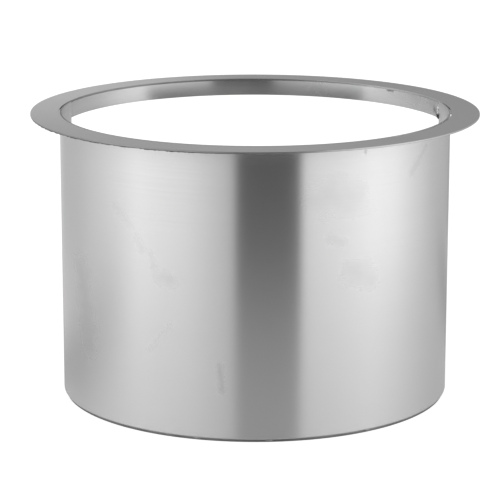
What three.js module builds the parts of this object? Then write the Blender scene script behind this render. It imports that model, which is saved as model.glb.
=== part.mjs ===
// Open-backed flanged housing of a round soup kettle, in brushed stainless sheet.
// Millimetres, +Z up. The front faces -Y and the open back faces +Y.
// The origin is on the surface that the housing stands on, under the middle of the well.
//
// A bearing is an angle round the well in degrees: 0 at the front, 90 at the right
// side, 180 at the back and -90 at the left side.
import * as THREE from "three";

// Whole housing
const totalHeight = 194.5;
const facetAngle = 2.5; // degrees of arc that one flat facet spans

// Top flange: a flat ring that carries the rim of the soup pot
const flangeRadius = 152.4;
const wellRadius = 133.35;
const flangeThickness = 1.2;

// Front shell: one rolled sheet, its top edge set inside the flange's hole
const sheetThickness = 1.2;
const shellClearance = 0.75; // slot between the shell and the edge of the flange's hole
const shellEndBearing = 104; // the sheet stops this far round on each side

// Rear band: a strip under the flange that closes the ring behind the well
const bandDepth = 12.0; // from the top of the flange to the bottom of the band
const bandEndBearing = 96; // its ends lap the outside of the shell

// Base ring: a flat ring under the shell, set in from the shell's outer face
const baseThickness = 1.5;
const baseSetBack = 1.4;
const baseWidth = 19.5;

// Welds
const jointGap = 0.3; // what two neighbouring pieces keep between them
const weldClearance = 0.15; // each side of a bead that fills the narrow slot at the rim
const rimWeldSink = 0.1; // how far a rim weld lies below the flange's top
const rimWeldSpans = {
  rim_weld_front: [-90, 42],
  rim_tack_left: [-103, -99],
  rim_tack_right: [82, 88],
};
const endBeadRadius = 1.2;
const endBeadLength = 4.6;
const endBeadSides = 10;
const endBeadCapSteps = 4;
const filletSize = 2.2;
const filletSteps = 4;
const bandWeldArc = 7;
const bandWeldBearings = [120, 160, 200, 240];
const baseTackArc = 2.2;
const baseTackBearings = [-98, -16.5, 4, 34, 98];

// Worked out from the dimensions above
const shellOuterRadius = wellRadius - shellClearance;
const shellInnerRadius = shellOuterRadius - sheetThickness;
const shellBottom = baseThickness + jointGap;
const flangeUnderside = totalHeight - flangeThickness;
const bandInnerRadius = shellOuterRadius + jointGap;
const bandOuterRadius = bandInnerRadius + sheetThickness;
const bandBottom = totalHeight - bandDepth;
const bandTop = flangeUnderside - jointGap;
const baseOuterRadius = shellOuterRadius - baseSetBack;
const baseInnerRadius = baseOuterRadius - baseWidth;

const steel = (color, roughness) => new THREE.MeshStandardMaterial({ color, roughness, metalness: 1 });
const materials = {
  flange: steel(0xb4b4b5, 0.38),
  shell: steel(0xc6c6c7, 0.3),
  band: steel(0xbebebf, 0.28),
  base: steel(0x8c8c8d, 0.5),
  weld: steel(0xa8a8a7, 0.45),
};

// A bearing as the angle that three.js measures from +X, in radians.
const fromX = (bearing) => THREE.MathUtils.degToRad(bearing - 90);

const halfSteps = (arc) => Math.max(2, Math.ceil(arc / facetAngle / 2));

// A flat-sided bar that follows the circle of the well from one bearing to another.
function arcBar({ inner, outer, from, to, bottom, top }) {
  const outline = new THREE.Shape();
  outline.absarc(0, 0, outer, fromX(from), fromX(to), false);
  outline.absarc(0, 0, inner, fromX(to), fromX(from), true);
  outline.closePath();
  const extrude = { depth: top - bottom, bevelEnabled: false, curveSegments: halfSteps(to - from) };
  return new THREE.ExtrudeGeometry(outline, extrude).translate(0, 0, bottom);
}

// A whole ring of rectangular section.
function ring({ inner, outer, bottom, top }) {
  const outline = new THREE.Shape();
  outline.absarc(0, 0, outer, 0, 2 * Math.PI, false);
  const hole = new THREE.Path();
  hole.absarc(0, 0, inner, 0, 2 * Math.PI, true);
  outline.holes.push(hole);
  const extrude = { depth: top - bottom, bevelEnabled: false, curveSegments: halfSteps(360) };
  return new THREE.ExtrudeGeometry(outline, extrude).translate(0, 0, bottom);
}

// An upright bead with round ends.
function uprightBead({ radius, length, distance, bearing, middle }) {
  const bead = new THREE.CapsuleGeometry(radius, length, endBeadCapSteps, endBeadSides);
  bead.rotateX(Math.PI / 2);
  const angle = fromX(bearing);
  return bead.translate(distance * Math.cos(angle), distance * Math.sin(angle), middle);
}

// A three-cornered fillet bead under the flange, against the outside of the band.
function filletBead({ bearing, arc }) {
  const inner = bandOuterRadius + weldClearance;
  const high = flangeUnderside - weldClearance;
  const corner = new THREE.Shape();
  corner.moveTo(inner, high);
  corner.lineTo(inner, high - filletSize);
  corner.lineTo(inner + filletSize, high);
  corner.closePath();
  const span = THREE.MathUtils.degToRad(arc);
  const bar = new THREE.ExtrudeGeometry(corner, {
    depth: inner * span,
    bevelEnabled: false,
    steps: filletSteps,
  });
  return bendRoundWell(bar.translate(0, 0, (-inner * span) / 2), inner, bearing);
}

// Bends a straight bar, drawn as (distance out, height, length), round the axis of the well.
function bendRoundWell(bar, neutralRadius, bearing) {
  const points = bar.getAttribute("position");
  for (let i = 0; i < points.count; i += 1) {
    const distance = points.getX(i);
    const height = points.getY(i);
    const angle = fromX(bearing) - points.getZ(i) / neutralRadius;
    points.setXYZ(i, distance * Math.cos(angle), distance * Math.sin(angle), height);
  }
  return bar;
}

const housing = new THREE.Group();

function add(name, material, geometry) {
  const mesh = new THREE.Mesh(geometry, material.clone());
  mesh.name = name;
  housing.add(mesh);
}

function addTopFlange() {
  const section = { inner: wellRadius, outer: flangeRadius, bottom: flangeUnderside, top: totalHeight };
  add("top_flange", materials.flange, ring(section));
}

function addFrontShell() {
  const shell = arcBar({
    inner: shellInnerRadius,
    outer: shellOuterRadius,
    from: -shellEndBearing,
    to: shellEndBearing,
    bottom: shellBottom,
    top: totalHeight,
  });
  add("front_shell", materials.shell, shell);
}

function addRearBand() {
  const band = arcBar({
    inner: bandInnerRadius,
    outer: bandOuterRadius,
    from: bandEndBearing,
    to: 360 - bandEndBearing,
    bottom: bandBottom,
    top: bandTop,
  });
  add("rear_band", materials.band, band);
}

function addBaseRing() {
  const section = { inner: baseInnerRadius, outer: baseOuterRadius, bottom: 0, top: baseThickness };
  add("base_ring", materials.base, ring(section));
}

// The beads that fill the slot between the shell and the flange's hole, ground flush on top.
function addRimWelds() {
  const slot = { inner: shellOuterRadius + weldClearance, outer: wellRadius - weldClearance };
  const depth = { bottom: flangeUnderside + jointGap, top: totalHeight - rimWeldSink };
  for (const [name, [from, to]] of Object.entries(rimWeldSpans)) {
    add(name, materials.weld, arcBar({ ...slot, ...depth, from, to }));
  }
}

// The beads inside each lap of band and shell, against the end of the shell.
function addEndWelds() {
  const distance = bandInnerRadius - jointGap - endBeadRadius;
  const clear = THREE.MathUtils.radToDeg((endBeadRadius + jointGap) / distance);
  for (const [name, side] of [["end_weld_left", -1], ["end_weld_right", 1]]) {
    const bead = uprightBead({
      radius: endBeadRadius,
      length: endBeadLength,
      distance,
      bearing: side * (shellEndBearing + clear),
      middle: flangeUnderside - jointGap - endBeadRadius - endBeadLength / 2,
    });
    add(name, materials.weld, bead);
  }
}

function addBandWelds() {
  bandWeldBearings.forEach((bearing, i) => {
    add(`band_weld_${i + 1}`, materials.weld, filletBead({ bearing, arc: bandWeldArc }));
  });
}

// The tacks in the step between the shell's bottom edge and the set-back base ring.
function addBaseTacks() {
  baseTackBearings.forEach((bearing, i) => {
    const tack = arcBar({
      inner: baseOuterRadius + weldClearance,
      outer: shellOuterRadius - weldClearance,
      from: bearing - baseTackArc / 2,
      to: bearing + baseTackArc / 2,
      bottom: jointGap,
      top: shellBottom - weldClearance,
    });
    add(`base_tack_${i + 1}`, materials.weld, tack);
  });
}

addTopFlange();
addFrontShell();
addRearBand();
addBaseRing();
addRimWelds();
addEndWelds();
addBandWelds();
addBaseTacks();

export default housing;
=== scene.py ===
import math

import bpy
from mathutils import Matrix, Vector, noise


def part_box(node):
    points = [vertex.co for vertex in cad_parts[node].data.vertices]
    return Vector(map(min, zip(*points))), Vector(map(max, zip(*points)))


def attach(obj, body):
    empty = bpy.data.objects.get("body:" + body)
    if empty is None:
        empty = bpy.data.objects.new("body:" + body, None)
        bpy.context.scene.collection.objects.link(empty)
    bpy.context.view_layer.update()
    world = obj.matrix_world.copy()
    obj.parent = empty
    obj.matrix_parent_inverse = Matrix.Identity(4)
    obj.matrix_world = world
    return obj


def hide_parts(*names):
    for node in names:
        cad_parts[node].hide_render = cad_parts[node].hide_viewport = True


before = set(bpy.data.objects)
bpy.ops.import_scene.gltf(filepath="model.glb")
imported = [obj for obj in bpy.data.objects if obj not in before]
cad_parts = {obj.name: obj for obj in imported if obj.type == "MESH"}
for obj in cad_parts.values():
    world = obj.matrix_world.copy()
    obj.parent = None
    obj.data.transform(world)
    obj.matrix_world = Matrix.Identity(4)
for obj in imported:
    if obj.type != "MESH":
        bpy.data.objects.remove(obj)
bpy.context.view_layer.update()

mm = 0.001
hair = 0.05 * mm                     # points closer than this count as one place
arcSteps = 720                       # two facets a degree round the well
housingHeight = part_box("top_flange")[1].z
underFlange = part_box("top_flange")[0].z


def deselectAll():
    bpy.ops.object.select_all(action="DESELECT")


def makeActive(piece):
    deselectAll()
    piece.select_set(True)
    bpy.context.view_layer.objects.active = piece


def radiusOf(co):
    return math.hypot(co.x, co.y)


def bearingOf(co):
    return math.degrees(math.atan2(co.x, -co.y))     # 0 at the front, 90 at the right, 180 at the back


def pointAt(radius, bearing, z):
    turn = math.radians(bearing)
    return Vector((radius * math.sin(turn), -radius * math.cos(turn), z))


def turnFrom(middle, co):
    return (bearingOf(co) - middle + 180) % 360 - 180


def onCircle(co, radius, z):
    return abs(co.z - z) < hair and abs(radiusOf(co) - radius) < hair


def radiusSpan(nodeName):
    reach = [radiusOf(v.co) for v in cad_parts[nodeName].data.vertices]
    return min(reach), max(reach)


def halfArc(nodeName, middle):
    return max(turnFrom(middle, v.co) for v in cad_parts[nodeName].data.vertices)


def middleOf(nodeName):
    low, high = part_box(nodeName)
    return (low + high) / 2


def selectVerts(piece, wanted):
    bpy.ops.mesh.select_mode(type="VERT")
    bpy.ops.mesh.select_all(action="DESELECT")
    bpy.ops.object.mode_set(mode="OBJECT")
    for v in piece.data.vertices:
        v.select = wanted(v.co)
    bpy.ops.object.mode_set(mode="EDIT")


def applyModifiers(piece):
    makeActive(piece)
    for name in [m.name for m in piece.modifiers]:
        bpy.ops.object.modifier_apply(modifier=name)


def addBevel(piece, width, segments=3, sharpFrom=40):
    edge = piece.modifiers.new("edge", "BEVEL")
    edge.width = width
    edge.segments = segments
    edge.limit_method = "ANGLE"
    edge.angle_limit = math.radians(sharpFrom)


def facesOutwards(piece):
    makeActive(piece)
    bpy.ops.object.mode_set(mode="EDIT")
    bpy.ops.mesh.select_all(action="SELECT")
    bpy.ops.mesh.normals_make_consistent(inside=False)
    bpy.ops.object.mode_set(mode="OBJECT")


def smoothShade(piece, angle=35):
    makeActive(piece)
    bpy.ops.object.shade_smooth_by_angle(angle=math.radians(angle))


def wrapUv(piece, radius, flatFrom=0.7):
    # metres round the well and up it on walls, X and Y on flat faces: the tangent follows the brushing
    layer = piece.data.uv_layers.get("wrap") or piece.data.uv_layers.new(name="wrap")
    for face in piece.data.polygons:
        home = bearingOf(face.center)
        flat = abs(face.normal.z) > flatFrom
        for loop in face.loop_indices:
            co = piece.data.vertices[piece.data.loops[loop].vertex_index].co
            turn = home + turnFrom(home, co)
            layer.data[loop].uv = (co.x, co.y) if flat else (math.radians(turn) * radius, co.z)


def outwardShare(face):
    # 1 on a wall that faces away from the well's axis, -1 on one that faces it, 0 on flat faces and ends
    return face.normal.dot(Vector((face.center.x, face.center.y, 0)).normalized())


def sheetSteel(seen, side, seenFrom=0.3, backFrom=0.5):
    # the seen finish on one wall of a rolled sheet, side 1 for its outer wall and -1 for its inner one
    def choose(face):
        share = side * outwardShare(face)
        if share > seenFrom:
            return seen
        return "inside" if share < -backFrom else "cutEdge"

    return choose


def giveMaterials(piece, names, choose):
    for name in names:
        piece.data.materials.append(steel[name])
    for face in piece.data.polygons:
        face.material_index = names.index(choose(face))


def finishPiece(piece, slotName, *nodes):
    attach(piece, "root")
    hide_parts(*nodes)
    deselectAll()


cameraSet = dict(
    distance=1.6140,                 # from the middle of the flange's top
    rise=9.91,                       # degrees above the flange
    tilt=13.30,                      # degrees that it looks down
    pan=-0.1205,
    roll=0.053,
    lens=170.45,
    sensor=36,
    clip=(0.05, 60),
)


def makeCamera(s):
    data = bpy.data.cameras.new("camera")
    data.lens = s["lens"]
    data.sensor_width = s["sensor"]
    data.clip_start, data.clip_end = s["clip"]
    camera = bpy.data.objects.new("camera", data)
    bpy.context.scene.collection.objects.link(camera)
    rise = math.radians(s["rise"])
    away, above = s["distance"] * math.cos(rise), s["distance"] * math.sin(rise)
    camera.location = (0, -away, housingHeight + above)
    pan = Matrix.Rotation(-math.radians(s["pan"]), 4, "Z")
    tilt = Matrix.Rotation(math.radians(90 - s["tilt"]), 4, "X")
    roll = Matrix.Rotation(math.radians(s["roll"]), 4, "Z")
    camera.rotation_euler = (pan @ tilt @ roll).to_euler()
    bpy.context.scene.camera = camera


makeCamera(cameraSet)
print("camera set")


def addNode(tree, kind, operation=None, **values):
    # a node whose inputs are set or linked by name with the spaces left out, or by place as in0 and in1
    node = tree.nodes.new(kind)
    if operation:
        node.operation = operation
    for name, value in values.items():
        if name.startswith("in"):
            socket = node.inputs[int(name[2:])]
        else:
            socket = next(i for i in node.inputs if i.name.replace(" ", "") == name and i.enabled)
        if isinstance(value, bpy.types.NodeSocket):
            tree.links.new(value, socket)
        else:
            socket.default_value = value
    return node


def addRange(tree, value, fromMin, fromMax, toMin, toMax, smooth=False):
    span = addNode(tree, "ShaderNodeMapRange", Value=value, FromMin=fromMin, FromMax=fromMax,
                   ToMin=toMin, ToMax=toMax)
    if smooth:
        span.interpolation_type = "SMOOTHSTEP"
    return span.outputs["Result"]


def addMath(tree, operation, a, b):
    return addNode(tree, "ShaderNodeMath", operation, in0=a, in1=b).outputs[0]


def addVector(tree, operation, a, b):
    return addNode(tree, "ShaderNodeVectorMath", operation, in0=a, in1=b).outputs


def addPlace(tree):
    return tree.nodes.new("ShaderNodeTexCoord").outputs["Object"]


def addGrey(tree, tone):
    return addNode(tree, "ShaderNodeCombineColor", Red=tone, Green=tone, Blue=tone).outputs[0]


stageSet = dict(
    floorSize=14.0,
    floorDrop=0.2 * mm,              # how far the floor lies under the housing, and the board twice as far
    floorTone=0.3,
    floorGlow=0.9,
    floorRoughness=0.9,
    boardRadius=0.56,                # round glossy board under the housing, which its sides mirror
    boardSides=96,
    boardTone=0.85,
    boardGlow=0.2,
    boardRoughness=0.18,
    boardMirror=0.38,
    boardShade=(-0.5, 1, 0),         # way of the painted shadow that stands in for the housing's shade, behind it and to the left
    boardShadeNear=(-0.05, 0.14),
    boardShadeFar=(0.12, 0.30),
    boardShadeDepth=0.36,
    boardShadeEnds=0.9,              # share of the painted shadow that is gone again further out
)


def makeStageMaterial(name, tone, glow, roughness):
    material = bpy.data.materials.new(name)
    material.use_nodes = True
    shader = material.node_tree.nodes["Principled BSDF"]
    shader.inputs["Base Color"].default_value = (tone, tone, tone, 1)
    shader.inputs["Roughness"].default_value = roughness
    shader.inputs["Emission Color"].default_value = (1, 1, 1, 1)
    shader.inputs["Emission Strength"].default_value = glow
    return material


def paintBoardShadow(material, s):
    # painted shadow: colour and glow darker in a broad bar behind the housing, and brighter again beyond it
    tree = material.node_tree
    shader = tree.nodes["Principled BSDF"]
    shader.inputs["Metallic"].default_value = s["boardMirror"]
    depth = s["boardShadeDepth"]
    along = addVector(tree, "DOT_PRODUCT", addPlace(tree), s["boardShade"])["Value"]
    near = addRange(tree, along, *s["boardShadeNear"], 1.0, 1 - depth, smooth=True)
    far = addRange(tree, along, *s["boardShadeFar"], 0.0, depth * s["boardShadeEnds"], smooth=True)
    fade = addMath(tree, "ADD", near, far)
    color = addGrey(tree, addMath(tree, "MULTIPLY", fade, s["boardTone"]))
    tree.links.new(color, shader.inputs["Base Color"])
    tree.links.new(addMath(tree, "MULTIPLY", fade, s["boardGlow"]), shader.inputs["Emission Strength"])


def makeStage(s):
    bpy.ops.mesh.primitive_plane_add(size=s["floorSize"], location=(0, 0, -s["floorDrop"]))
    floor = bpy.context.object
    floor.name = "floor"
    floor.visible_glossy = False
    floor.visible_diffuse = False
    floorFinish = makeStageMaterial("pale floor", s["floorTone"], s["floorGlow"], s["floorRoughness"])
    floor.data.materials.append(floorFinish)
    bpy.ops.mesh.primitive_circle_add(vertices=s["boardSides"], radius=s["boardRadius"], fill_type="NGON",
                                      location=(0, 0, -2 * s["floorDrop"]))
    board = bpy.context.object
    board.name = "whiteBoard"
    board.visible_camera = False
    boardFinish = makeStageMaterial("white board", s["boardTone"], s["boardGlow"], s["boardRoughness"])
    paintBoardShadow(boardFinish, s)
    board.data.materials.append(boardFinish)


makeStage(stageSet)

lightSet = dict(
    # brightness round the housing, as degrees from the camera's side (+ to the right) and value
    low=[(-180, 0.31), (-178.7, 0.48), (-177.4, 0.63), (-176, 0.74), (-173, 0.78), (-165, 0.74),
         (-150, 0.64), (-125, 0.75), (-100, 1.0), (-72, 1.42), (-40, 1.18), (-18, 0.83), (-12, 0.7),
         (-10, 0.1), (25.5, 0.1), (28, 1.1), (50, 1.3), (72, 1.53), (88, 1.46), (105, 1.12), (125, 0.79),
         (145, 0.63), (174, 0.35), (178, 0.39)],
    high=[(-180, 0.55), (-178, 0.47), (-172, 0.44), (-165, 0.65), (-150, 0.74), (-125, 0.8),
          (-72, 1.4), (-40, 1.2), (-18, 0.83), (-12, 0.7), (-10, 0.1), (25.5, 0.1), (28, 1.1), (75, 1.5),
          (105, 1.0), (125, 0.7), (150, 0.43), (174, 0.41), (178, 0.47)],
    horizon=(0.14, 0.20),            # where the low ring gives way to the high one
    ceilingFrom=(0.45, 0.9),
    ceiling=0.4,
)


def addRing(tree, turn, stops):
    ring = tree.nodes.new("ShaderNodeValToRGB")
    ramp = ring.color_ramp
    ramp.interpolation = "LINEAR"
    while len(ramp.elements) > 1:
        ramp.elements.remove(ramp.elements[-1])
    for i, (degrees, value) in enumerate(stops):
        place = (degrees + 180) / 360
        stop = ramp.elements[0] if i == 0 else ramp.elements.new(place)
        stop.position = place
        stop.color = (value, value, value, 1)
    tree.links.new(turn, ring.inputs["Fac"])
    return ring.outputs["Color"]


def addMix(tree, factor, a, b):
    mix = tree.nodes.new("ShaderNodeMix")
    mix.data_type = "RGBA"
    tree.links.new(factor, mix.inputs["Factor"])
    for socket, given in ((mix.inputs["A"], a), (mix.inputs["B"], b)):
        if isinstance(given, float):
            socket.default_value = (given, given, given, 1)
        else:
            tree.links.new(given, socket)
    return mix.outputs["Result"]


def makeWorld(s):
    world = bpy.data.worlds.new("studio")
    bpy.context.scene.world = world
    world.use_nodes = True
    tree = world.node_tree
    where = tree.nodes.new("ShaderNodeTexCoord")
    split = addNode(tree, "ShaderNodeSeparateXYZ", in0=where.outputs["Generated"])
    back = addMath(tree, "MULTIPLY", split.outputs["Y"], -1)
    turn = addMath(tree, "ARCTAN2", split.outputs["X"], back)
    share = addRange(tree, turn, -math.pi, math.pi, 0.0, 1.0)
    low, high = addRing(tree, share, s["low"]), addRing(tree, share, s["high"])
    overHorizon = addRange(tree, split.outputs["Z"], *s["horizon"], 0.0, 1.0, smooth=True)
    overhead = addRange(tree, split.outputs["Z"], *s["ceilingFrom"], 0.0, 1.0, smooth=True)
    room = addMix(tree, overhead, addMix(tree, overHorizon, low, high), s["ceiling"])
    tree.links.new(room, tree.nodes["Background"].inputs["Color"])
    bpy.context.scene.view_settings.view_transform = "Standard"


makeWorld(lightSet)
print("stage and light set")


def newSocket(group, name, way, kind="NodeSocketFloat", value=None):
    socket = group.interface.new_socket(name=name, in_out=way, socket_type=kind)
    if value is not None:
        socket.default_value = value


def makeGrainGroup():
    # long fine scratches: Stretch gives how often the pattern changes along each axis, in turns a metre
    group = bpy.data.node_groups.new("brushGrain", "ShaderNodeTree")
    newSocket(group, "Stretch", "INPUT", "NodeSocketVector", (14, 14, 2600))
    newSocket(group, "Fine", "OUTPUT")
    newSocket(group, "Broad", "OUTPUT")
    given, out = group.nodes.new("NodeGroupInput"), group.nodes.new("NodeGroupOutput")
    place = addPlace(group)
    for outName, share, detail in (("Fine", 1.0, 3.0), ("Broad", 0.2, 2.0)):
        size = addNode(group, "ShaderNodeVectorMath", "SCALE", in0=given.outputs["Stretch"], Scale=share)
        spot = addVector(group, "MULTIPLY", place, size.outputs[0])[0]
        streaks = addNode(group, "ShaderNodeTexNoise", Vector=spot, Scale=1.0, Detail=detail, Roughness=0.6)
        group.links.new(streaks.outputs["Fac"], out.inputs[outName])
    return group


def makeMarksGroup():
    # broad dull patches that handling leaves on bare steel
    group = bpy.data.node_groups.new("handlingMarks", "ShaderNodeTree")
    newSocket(group, "Size", "INPUT", value=24)
    newSocket(group, "Mark", "OUTPUT")
    given, out = group.nodes.new("NodeGroupInput"), group.nodes.new("NodeGroupOutput")
    patches = addNode(group, "ShaderNodeTexNoise", Vector=addPlace(group), Scale=given.outputs["Size"],
                      Detail=1.0, Distortion=0.3)
    patch = addRange(group, patches.outputs["Fac"], 0.40, 0.85, 0.0, 1.0, smooth=True)
    group.links.new(patch, out.inputs["Mark"])
    return group


def makeSmearAndShadeGroup():
    # one smear of a hand or a cloth, from Start to End and as wide as Reach, soft and broken at its edges;
    # on the band the same spot also paints shade into a pit and a notch
    group = bpy.data.node_groups.new("smear", "ShaderNodeTree")
    newSocket(group, "Start", "INPUT", "NodeSocketVector")
    newSocket(group, "End", "INPUT", "NodeSocketVector")
    newSocket(group, "Reach", "INPUT", value=0.01)
    newSocket(group, "Depth", "INPUT", value=1)
    newSocket(group, "SmearAndShade", "OUTPUT")
    given, out = group.nodes.new("NodeGroupInput"), group.nodes.new("NodeGroupOutput")
    start, end, reach = (given.outputs[name] for name in ("Start", "End", "Reach"))
    place = addPlace(group)
    away = addVector(group, "SUBTRACT", place, start)[0]
    run = addVector(group, "SUBTRACT", end, start)[0]
    along = addVector(group, "DOT_PRODUCT", away, run)["Value"]
    length = addMath(group, "MAXIMUM", addVector(group, "DOT_PRODUCT", run, run)["Value"], 1e-8)
    share = addNode(group, "ShaderNodeMath", "DIVIDE", in0=along, in1=length)
    share.use_clamp = True
    nearest = addNode(group, "ShaderNodeVectorMath", "SCALE", in0=run, Scale=share.outputs[0]).outputs[0]
    gap = addVector(group, "SUBTRACT", away, nearest)[0]
    distance = addNode(group, "ShaderNodeVectorMath", "LENGTH", in0=gap).outputs["Value"]
    finer = addMath(group, "DIVIDE", 1.1, reach)
    wander = addNode(group, "ShaderNodeTexNoise", Vector=place, Scale=finer, Detail=1.0)
    uneven = addRange(group, wander.outputs["Fac"], 0.25, 0.75, -0.4, 0.4)
    spread = addMath(group, "ADD", addMath(group, "DIVIDE", distance, reach), uneven)
    blot = addRange(group, spread, -0.3, 1.5, 1.0, 0.0, smooth=True)
    group.links.new(addMath(group, "MULTIPLY", blot, given.outputs["Depth"]), out.inputs["SmearAndShade"])
    return group


grainGroup, marksGroup, smearAndShadeGroup = makeGrainGroup(), makeMarksGroup(), makeSmearAndShadeGroup()


def useGroup(tree, group, **values):
    node = tree.nodes.new("ShaderNodeGroup")
    node.node_tree = group
    for name, value in values.items():
        node.inputs[name].default_value = value
    return node


def brushAlong(tree, shader, anisotropy):
    shader.inputs["Anisotropic"].default_value = anisotropy
    shader.inputs["Anisotropic Rotation"].default_value = 0.25
    tangent = tree.nodes.new("ShaderNodeTangent")
    tangent.direction_type = "UV_MAP"
    tangent.uv_map = "wrap"
    tree.links.new(tangent.outputs[0], shader.inputs["Tangent"])


def addWearAndShade(tree, s):
    # where the steel is marked: 0 where it is clean, more where a smear is deeper; on the band two of these
    # spots are painted shade
    wornAndShaded = useGroup(tree, marksGroup, Size=s["markSize"]).outputs["Mark"] if s["markSize"] else 0.0
    for start, end, reach, depth in s.get("smears", ()):
        start, end = (pointAt(s["face"], bearing, height * mm) for bearing, height in (start, end))
        blot = useGroup(tree, smearAndShadeGroup, Start=start, End=end, Reach=reach * mm, Depth=depth)
        wornAndShaded = addMath(tree, "MAXIMUM", wornAndShaded, blot.outputs["SmearAndShade"])
    return wornAndShaded


def addDarkerLeft(tree, tone, rough, s):
    # darker and rougher on the left, brighter and smoother on the right
    across = addNode(tree, "ShaderNodeSeparateXYZ", Vector=addPlace(tree)).outputs["X"]
    leftShare = addRange(tree, across, s["rawUntil"], s["polishedFrom"], 1.0, 0.0, smooth=True)
    shift = addMath(tree, "MULTIPLY", leftShare, s["rawTone"] / s["tone"] - 1)
    tone = addMath(tree, "MULTIPLY", tone, addMath(tree, "ADD", shift, 1.0))
    rougher = addMath(tree, "MULTIPLY", leftShare, s["rawRoughness"] - s["roughness"])
    return tone, addMath(tree, "ADD", rough, rougher)


def addDish(tree, crown):
    # very slightly dished, so that it mirrors lower at the back than at the front
    radius = addNode(tree, "ShaderNodeVectorMath", "LENGTH", in0=addPlace(tree)).outputs["Value"]
    height = addMath(tree, "MULTIPLY", radius, -crown)
    return addNode(tree, "ShaderNodeBump", Strength=1.0, Distance=1.0, Height=height).outputs["Normal"]


def addSwing(tree, grain, middle, swing, grainFrom=0.3, grainTo=0.7):
    # a value that the grain moves up and down by a share of itself
    return addRange(tree, grain, grainFrom, grainTo, middle * (1 - swing), middle * (1 + swing))


bumpDepth = 0.02 * mm
wearRoughness = 0.4                  # how far a mark roughens the steel, as a share of how far it dulls it


def makeSteel(name, s):
    material = bpy.data.materials.new(name)
    material.use_nodes = True
    tree = material.node_tree
    shader = tree.nodes["Principled BSDF"]
    shader.inputs["Metallic"].default_value = 1
    if s["anisotropy"]:
        brushAlong(tree, shader, s["anisotropy"])
    grain = useGroup(tree, grainGroup, Stretch=s["stretch"])
    wornAndShaded = addWearAndShade(tree, s)
    tone = addSwing(tree, grain.outputs["Fine"], s["tone"], s["toneSwing"])
    rough = addSwing(tree, grain.outputs["Broad"], s["roughness"], 0.5 * s["toneSwing"])
    if "rawTone" in s:
        tone, rough = addDarkerLeft(tree, tone, rough, s)
    # the marks darken the tone: wear, and on the band also painted shade
    kept = addMath(tree, "SUBTRACT", 1.0, addMath(tree, "MULTIPLY", wornAndShaded, s["markDepth"]))
    color = addGrey(tree, addMath(tree, "MULTIPLY", tone, kept))
    rough = addMath(tree, "ADD", rough, addMath(tree, "MULTIPLY", wornAndShaded, s["markDepth"] * wearRoughness))
    tree.links.new(color, shader.inputs["Base Color"])
    tree.links.new(rough, shader.inputs["Roughness"])
    scratches = grain.outputs["Fine"]
    bump = addNode(tree, "ShaderNodeBump", Strength=s["bump"], Distance=bumpDepth, Height=scratches)
    if "crown" in s:
        tree.links.new(addDish(tree, s["crown"]), bump.inputs["Normal"])
    tree.links.new(bump.outputs["Normal"], shader.inputs["Normal"])
    return material


shellFace = radiusSpan("front_shell")[1]
bandFace = radiusSpan("rear_band")[0] + 0.1 * mm
shellSmears = [
    # start and end as bearing and height in mm, reach in mm, depth
    ((-43, 149), (-37, 138), 3, 1.2),
    ((-35, 131), (-33, 123), 3, 1.6),
    ((-30, 121), (-29, 112), 2.5, 2.0),
    ((-27, 107), (-24, 105), 5, 2.6),
    ((-60, 100), (-56, 50), 10, 3.2),
    ((-31, 57), (-24, 76), 1.5, 1.8),
    ((-9.8, 51), (-9, 34), 2, 5.0),
    ((20, 160), (29, 158), 13, 2.6),
    ((21, 133), (25, 130), 3, 2.4),
    ((29, 110), (33, 104), 9, 2.8),
    ((57, 183), (50, 168), 3, 3.2),
    ((32, 189.5), (32, 186.5), 1.2, 9.0),
]
bandSmearsAndShade = [
    # painted shade: a dark pit on the band's top edge
    ((132, 192.8), (134, 192.8), 1.2, 11.0),
    # painted shade: the dark notch in the lap corner under the right end weld
    ((109.5, 187.5), (107, 185), 2.6, 11.0),
    ((161, 190), (158, 188), 4, 1.0),
    ((123, 192.5), (121, 191.5), 5, 1.4),
    ((112, 191.5), (110, 190), 5, 1.8),
]
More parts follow.
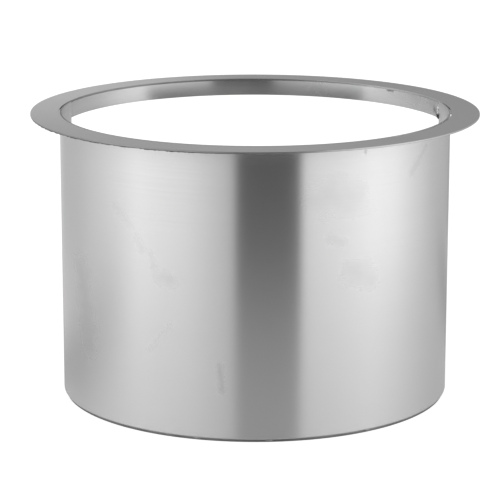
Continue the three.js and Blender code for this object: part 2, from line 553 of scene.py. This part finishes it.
finishes = dict(
    shell=dict(tone=0.62, toneSwing=0.02, roughness=0.27, anisotropy=0.93, stretch=(8, 8, 2600),
               bump=0.003, markSize=0, markDepth=0.02, smears=shellSmears, face=shellFace),
    inside=dict(tone=0.63, toneSwing=0.02, roughness=0.3, anisotropy=0.6, stretch=(24, 24, 2200),
                bump=0.015, markSize=30, markDepth=0.05),
    flange=dict(tone=0.56, toneSwing=0.012, roughness=0.2, anisotropy=0.3, stretch=(10, 2600, 10),
                bump=0.008, markSize=22, markDepth=0.02, crown=0.06),
    band=dict(tone=0.53, toneSwing=0.01, roughness=0.27, anisotropy=0.93, stretch=(12, 12, 2600),
              bump=0.008, markSize=0, markDepth=0.05, smears=bandSmearsAndShade, face=bandFace),
    # the base ring's edges: dull cut steel, toned darker as painted shade for the step under the shell
    base=dict(tone=0.22, toneSwing=0.10, roughness=0.5, anisotropy=0, stretch=(60, 60, 900),
              bump=0.2, markSize=60, markDepth=0.2),
    baseTop=dict(tone=0.5, toneSwing=0.05, roughness=0.38, anisotropy=0.3, stretch=(10, 2600, 10),
                 bump=0.1, markSize=30, markDepth=0.12),
    cutEdge=dict(tone=0.46, toneSwing=0.06, roughness=0.3, anisotropy=0, stretch=(700, 700, 90),
                 bump=0.2, markSize=80, markDepth=0.1, rawTone=0.31, rawRoughness=0.42,
                 rawUntil=0.015, polishedFrom=0.06),
    # the ragged burr under the rim, toned near black as painted shade for the dark line there
    burr=dict(tone=0.12, toneSwing=0.3, roughness=0.5, anisotropy=0, stretch=(600, 600, 200),
              bump=0.5, markSize=300, markDepth=0.3),
    weld=dict(tone=0.62, toneSwing=0.10, roughness=0.2, anisotropy=0, stretch=(500, 500, 700),
              bump=0.4, markSize=260, markDepth=0.25),
    tack=dict(tone=0.34, toneSwing=0.15, roughness=0.4, anisotropy=0, stretch=(500, 500, 700),
              bump=0.5, markSize=260, markDepth=0.25),
    # painted shade: near black on the foot of the right end weld, for the dark notch in the lap corner
    scorched=dict(tone=0.12, toneSwing=0.3, roughness=0.5, anisotropy=0, stretch=(600, 600, 600),
                  bump=1.0, markSize=300, markDepth=0.4),
)
steel = {name: makeSteel(name + "Steel", s) for name, s in finishes.items()}
print("finishes made")


def flipFaces(piece):
    bpy.ops.object.mode_set(mode="EDIT")
    bpy.ops.mesh.select_all(action="SELECT")
    bpy.ops.mesh.flip_normals()
    bpy.ops.object.mode_set(mode="OBJECT")


def makeArcSheet(name, low, high, radius, thickness, middle, half, slack=0.2):
    # a rolled sheet of this outside radius, between two heights and half an arc each way from its middle
    deselectAll()
    bpy.ops.mesh.primitive_circle_add(vertices=arcSteps, radius=radius, location=(0, 0, 0))
    piece = bpy.context.object
    piece.name = name
    piece.data.name = name
    bpy.ops.object.mode_set(mode="EDIT")
    selectVerts(piece, lambda co: abs(turnFrom(middle, co)) > half + slack)
    bpy.ops.mesh.delete(type="VERT")
    bpy.ops.mesh.select_all(action="SELECT")
    bpy.ops.transform.translate(value=(0, 0, low))
    bpy.ops.mesh.extrude_region_move(TRANSFORM_OT_translate={"value": (0, 0, high - low)})
    bpy.ops.object.mode_set(mode="OBJECT")
    if outwardShare(piece.data.polygons[0]) < 0:
        flipFaces(piece)
    wall = piece.modifiers.new("wall", "SOLIDIFY")
    wall.thickness = thickness
    wall.offset = -1
    applyModifiers(piece)
    return piece


def makeFlatRing(name, low, high, inner, outer, steps):
    deselectAll()
    bpy.ops.mesh.primitive_circle_add(vertices=steps, radius=outer, location=(0, 0, 0))
    piece = bpy.context.object
    piece.name = name
    piece.data.name = name
    bpy.ops.object.mode_set(mode="EDIT")
    bpy.ops.mesh.select_all(action="SELECT")
    bpy.ops.transform.translate(value=(0, 0, low))
    bpy.ops.mesh.extrude_region_move()
    bpy.ops.transform.resize(value=(inner / outer, inner / outer, 1))
    bpy.ops.mesh.select_all(action="SELECT")
    bpy.ops.mesh.extrude_region_move(TRANSFORM_OT_translate={"value": (0, 0, high - low)})
    bpy.ops.object.mode_set(mode="OBJECT")
    facesOutwards(piece)
    return piece


def rollEdge(piece, radius, z, width, segments):
    # rounds over the edge line at this radius and height
    makeActive(piece)
    bpy.ops.object.mode_set(mode="EDIT")
    selectVerts(piece, lambda co: onCircle(co, radius, z))
    bpy.ops.mesh.select_mode(type="EDGE")
    bpy.ops.mesh.bevel(offset=width, segments=segments, affect="EDGES")
    bpy.ops.object.mode_set(mode="OBJECT")


shellSet = dict(
    edge=0.22 * mm,
    footRoll=1.0 * mm,               # the lower edge is rolled over on the outside
    footSteps=4,
)


def makeShell(s):
    low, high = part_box("front_shell")
    inner, outer = radiusSpan("front_shell")
    piece = makeArcSheet("frontShell", low.z, high.z, outer, outer - inner, 0, halfArc("front_shell", 0))
    rollEdge(piece, outer, low.z, s["footRoll"], s["footSteps"])
    addBevel(piece, s["edge"])
    applyModifiers(piece)
    facesOutwards(piece)
    wrapUv(piece, outer)
    giveMaterials(piece, ["shell", "inside", "cutEdge"], sheetSteel("shell", 1))
    smoothShade(piece)
    finishPiece(piece, "shell_steel", "front_shell")


bandSet = dict(
    edge=0.06 * mm,
    seat=0.01 * mm,                  # what is left between the band and the flange
)


def makeBand(s):
    low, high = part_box("rear_band")
    inner, outer = radiusSpan("rear_band")
    half = halfArc("rear_band", 180)
    piece = makeArcSheet("rearBand", low.z, underFlange - s["seat"], outer, outer - inner, 180, half)
    addBevel(piece, s["edge"])
    applyModifiers(piece)
    facesOutwards(piece)
    wrapUv(piece, outer)
    giveMaterials(piece, ["band", "inside", "cutEdge"], sheetSteel("band", -1))
    smoothShade(piece)
    finishPiece(piece, "band_steel", "rear_band")


flangeSet = dict(
    steps=1440,
    edge=0.22 * mm,
    edgeSteps=2,
    flatFrom=0.75,                   # share of a face's normal that points up or down on the flat sides
    smoothUpTo=18,                   # keeps the flat top's shading apart from its rolled edges
    burrDrop=0.55 * mm,              # the ragged burr that shearing left under the rim
    burrSpan=(-82, -2),              # bearings that it runs between
    burrFade=14,
    burrShare=0.55,
    burrPitch=1.1 * mm,
)


def addBurr(piece, s, low, outer):
    first, last = s["burrSpan"]
    rimTop, rimInner = low + 0.6 * s["edge"], outer - 1.5 * s["edge"]
    for v in piece.data.vertices:
        if v.co.z > rimTop or radiusOf(v.co) < rimInner:
            continue
        bearing = bearingOf(v.co)
        fade = min(1, (bearing - first) / s["burrFade"], (last - bearing) / s["burrFade"])
        if fade > 0:
            ragged = max(0, s["burrShare"] + noise.noise(v.co / s["burrPitch"]))
            v.co.z -= s["burrDrop"] * fade * ragged


def makeFlange(s):
    low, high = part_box("top_flange")
    inner, outer = radiusSpan("top_flange")
    piece = makeFlatRing("topFlange", low.z, high.z, inner, outer, s["steps"])
    rolled = ((outer, high.z), (inner, high.z), (outer, low.z))      # the lower inner edge sits on the band
    for radius, z in rolled:
        rollEdge(piece, radius, z, s["edge"], s["edgeSteps"])
    addBurr(piece, s, low.z, outer)
    wrapUv(piece, outer)
    first, last = s["burrSpan"]
    rimTop, rimInner = low.z + s["edge"], outer - 2 * s["edge"]

    def flangeSteel(face):
        if face.normal.z > s["flatFrom"]:
            return "flange"
        onRim = face.center.z < rimTop and radiusOf(face.center) > rimInner
        if onRim and first < bearingOf(face.center) < last:
            return "burr"
        return "inside" if face.normal.z < -s["flatFrom"] else "cutEdge"

    giveMaterials(piece, ["flange", "inside", "cutEdge", "burr"], flangeSteel)
    smoothShade(piece, s["smoothUpTo"])
    finishPiece(piece, "flange_steel", "top_flange")


baseSet = dict(
    edge=0.15 * mm,
    edgeSteps=2,
    flatFrom=0.75,
)


def makeBase(s):
    low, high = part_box("base_ring")
    inner, outer = radiusSpan("base_ring")
    piece = makeFlatRing("baseRing", low.z, high.z, inner, outer, arcSteps)
    addBevel(piece, s["edge"], s["edgeSteps"])
    applyModifiers(piece)
    wrapUv(piece, outer)
    giveMaterials(piece, ["baseTop", "base"],
                  lambda face: "baseTop" if abs(face.normal.z) > s["flatFrom"] else "base")
    smoothShade(piece)
    finishPiece(piece, "base_steel", "base_ring")


makeShell(shellSet)
makeBand(bandSet)
makeFlange(flangeSet)
makeBase(baseSet)
print("sheet pieces made")


beadSet = dict(
    sides=14,
    tip=0.3,                         # size at both ends, as a share of the middle
    bluntness=5,
    dip=0.16,                        # how deep the ripples are cut
    ringsPerRipple=4,
    leastRings=8,
    lumpSize=0.9,                    # in ripples
)


def beadSize(s, along, ripples):
    taper = max(s["tip"], (1 - abs(2 * along - 1) ** s["bluntness"]) ** 0.5)
    return taper * (1 - s["dip"] * abs(math.sin(math.pi * along * ripples)))


def makeBead(name, own, seed, s=beadSet):
    # a weld bead along X: a row of overlapping ripples, tapered at both ends and uneven all over
    length, pitch = own["length"], own["pitch"]
    deselectAll()
    steps = max(s["leastRings"], round(s["ringsPerRipple"] * length / pitch))
    bpy.ops.mesh.primitive_circle_add(vertices=s["sides"], radius=0.5, fill_type="NGON", location=(0, 0, 0),
                                      rotation=(0, math.pi / 2, 0))
    piece = bpy.context.object
    piece.name = name
    piece.data.name = name
    bpy.ops.object.transform_apply(location=True, rotation=True)
    bpy.ops.object.mode_set(mode="EDIT")
    bpy.ops.mesh.select_all(action="SELECT")
    bpy.ops.transform.translate(value=(-length / 2, 0, 0))
    size = s["tip"]
    bpy.ops.transform.resize(value=(1, own["width"] * size, own["height"] * size),
                             center_override=(-length / 2, 0, 0))
    for i in range(1, steps + 1):
        along = i / steps
        wanted = beadSize(s, along, length / pitch)
        ratio = wanted / size
        size = wanted
        bpy.ops.mesh.extrude_region_move(TRANSFORM_OT_translate={"value": (length / steps, 0, 0)})
        bpy.ops.transform.resize(value=(1, ratio, ratio), center_override=(length * (along - 0.5), 0, 0))
    bpy.ops.object.mode_set(mode="OBJECT")
    facesOutwards(piece)
    soft = piece.modifiers.new("soft", "SUBSURF")
    soft.levels = soft.render_levels = 1
    applyModifiers(piece)
    for v in piece.data.vertices:
        push = noise.noise(v.co / (s["lumpSize"] * pitch) + Vector((seed, 0, 0)))
        v.co += v.normal * push * own["lump"]
    return piece


def layRound(piece, radius, bearing, height):
    # bends a bead round the well, with its length along the wall
    for v in piece.data.vertices:
        v.co = pointAt(radius + v.co.y, bearing - math.degrees(v.co.x / radius), height + v.co.z)


def standUp(piece, radius, bearing, height):
    # stands a bead on its end at the wall
    for v in piece.data.vertices:
        v.co = pointAt(radius + v.co.y, bearing + math.degrees(v.co.z / radius), height + v.co.x)


def finishBead(piece, node, names=("weld",), choose=lambda face: "weld", smoothUpTo=60):
    giveMaterials(piece, list(names), choose)
    smoothShade(piece, smoothUpTo)
    finishPiece(piece, "weld_steel", node)


rimSet = dict(
    sink=0.06 * mm,                  # below the flange's top
    lap=0.08 * mm,                   # into the shell and into the flange
    swell=0.05 * mm,
    swellPitch=4 * mm,
    tack=dict(width=1.15 * mm, height=1.1 * mm, pitch=1.7 * mm, lump=0.12 * mm),
    tacks=dict(                      # bearing, length and depth below the flange's top
        rim_tack_left=(-101, 8 * mm, 0.95 * mm),
        rim_tack_right=(87, 13 * mm, 0.58 * mm),
    ),
)


def makeGroundWeld(s, shellOuter, wellEdge):
    # the long weld between the shell and the flange is ground flush
    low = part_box("rim_weld_front")[0]
    turns = [turnFrom(0, v.co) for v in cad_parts["rim_weld_front"].data.vertices]
    middle, half = (min(turns) + max(turns)) / 2, (max(turns) - min(turns)) / 2
    step = 360 / arcSteps
    piece = makeArcSheet("rimWeldFront", low.z, housingHeight - s["sink"], wellEdge + s["lap"],
                         wellEdge - shellOuter + 2 * s["lap"], round(middle / step) * step, half)
    for v in piece.data.vertices:
        if v.co.z > low.z + hair:
            v.co.z += s["swell"] * min(0, noise.noise(v.co / s["swellPitch"]))
    facesOutwards(piece)
    wrapUv(piece, wellEdge)
    giveMaterials(piece, ["flange"], lambda face: "flange")
    smoothShade(piece)
    finishPiece(piece, "weld_steel", "rim_weld_front")


def makeRimWelds(s):
    shellOuter, wellEdge = radiusSpan("front_shell")[1], radiusSpan("top_flange")[0]
    makeGroundWeld(s, shellOuter, wellEdge)
    for seed, (node, (bearing, length, depth)) in enumerate(s["tacks"].items()):
        name = "rimTackLeft" if bearing < 0 else "rimTackRight"
        tack = makeBead(name, dict(s["tack"], length=length), seed)
        layRound(tack, (shellOuter + wellEdge) / 2, bearing, housingHeight - depth)
        finishBead(tack, node)


endSet = dict(
    left=dict(length=6.5 * mm, width=1.5 * mm, height=1.6 * mm, pitch=1.5 * mm, lump=0.12 * mm,
              middle=187.5 * mm, scorch=0, side=-1, seed=6),
    # below the right bead's shade height its faces take the painted notch shade
    right=dict(length=10.5 * mm, width=3.2 * mm, height=5.0 * mm, pitch=1.5 * mm, lump=0.5 * mm,
               middle=187.6 * mm, scorch=185.9 * mm, side=1, seed=8),
    clear=0.35,                      # from the shell's end and into the band, as shares of the bead
    bury=0.3,
)


def makeEndWelds(s):
    # inside each lap, along the end of the shell; the right one's foot is painted near black as shade of
    # the dark notch in the lap corner
    shellInner = radiusSpan("front_shell")[0]
    bandInner = radiusSpan("rear_band")[0]
    shellEnd = halfArc("front_shell", 0)
    ends = (("end_weld_left", "endWeldLeft", s["left"]), ("end_weld_right", "endWeldRight", s["right"]))
    for node, name, own in ends:
        bead = makeBead(name, own, own["seed"])
        clear = math.degrees(s["clear"] * own["height"] / shellInner)
        radius = bandInner - s["bury"] * own["width"]
        standUp(bead, radius, own["side"] * (shellEnd + clear), own["middle"])
        finishBead(bead, node, ("weld", "scorched"),
                   lambda face: "scorched" if face.center.z < own["scorch"] else "weld")


def nodesNamed(start):
    return sorted(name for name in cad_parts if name.startswith(start))


bandWeldSet = dict(
    length=16 * mm,
    width=2.6 * mm,
    height=2.4 * mm,
    pitch=1.8 * mm,
    lump=0.2 * mm,
    out=0.25,                        # off the band and down from the flange, as shares of the bead
    down=0.25,
    seed=20,
)


def makeBandWelds(s):
    # fillets in the corner under the flange, behind the band
    radius = radiusSpan("rear_band")[1] + s["out"] * s["width"]
    for i, node in enumerate(nodesNamed("band_weld")):
        bead = makeBead("bandWeld" + str(i + 1), s, s["seed"] + i)
        layRound(bead, radius, bearingOf(middleOf(node)), underFlange - s["down"] * s["height"])
        finishBead(bead, node)


tackSet = dict(
    length=5 * mm,
    width=1.9 * mm,
    height=1.9 * mm,
    pitch=2.2 * mm,
    lump=0.22 * mm,
    out=0.2 * mm,
    seed=40,
)


def makeBaseTacks(s):
    # small tacks in the step between the shell and the base ring
    radius, baseTop = radiusSpan("base_ring")[1] + s["out"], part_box("base_ring")[1].z
    for i, node in enumerate(nodesNamed("base_tack")):
        bead = makeBead("baseTack" + str(i + 1), s, s["seed"] + i)
        layRound(bead, radius, bearingOf(middleOf(node)), baseTop)
        finishBead(bead, node, ("tack",), lambda face: "tack")


makeRimWelds(rimSet)
makeEndWelds(endSet)
makeBandWelds(bandWeldSet)
makeBaseTacks(tackSet)
print("welds made")
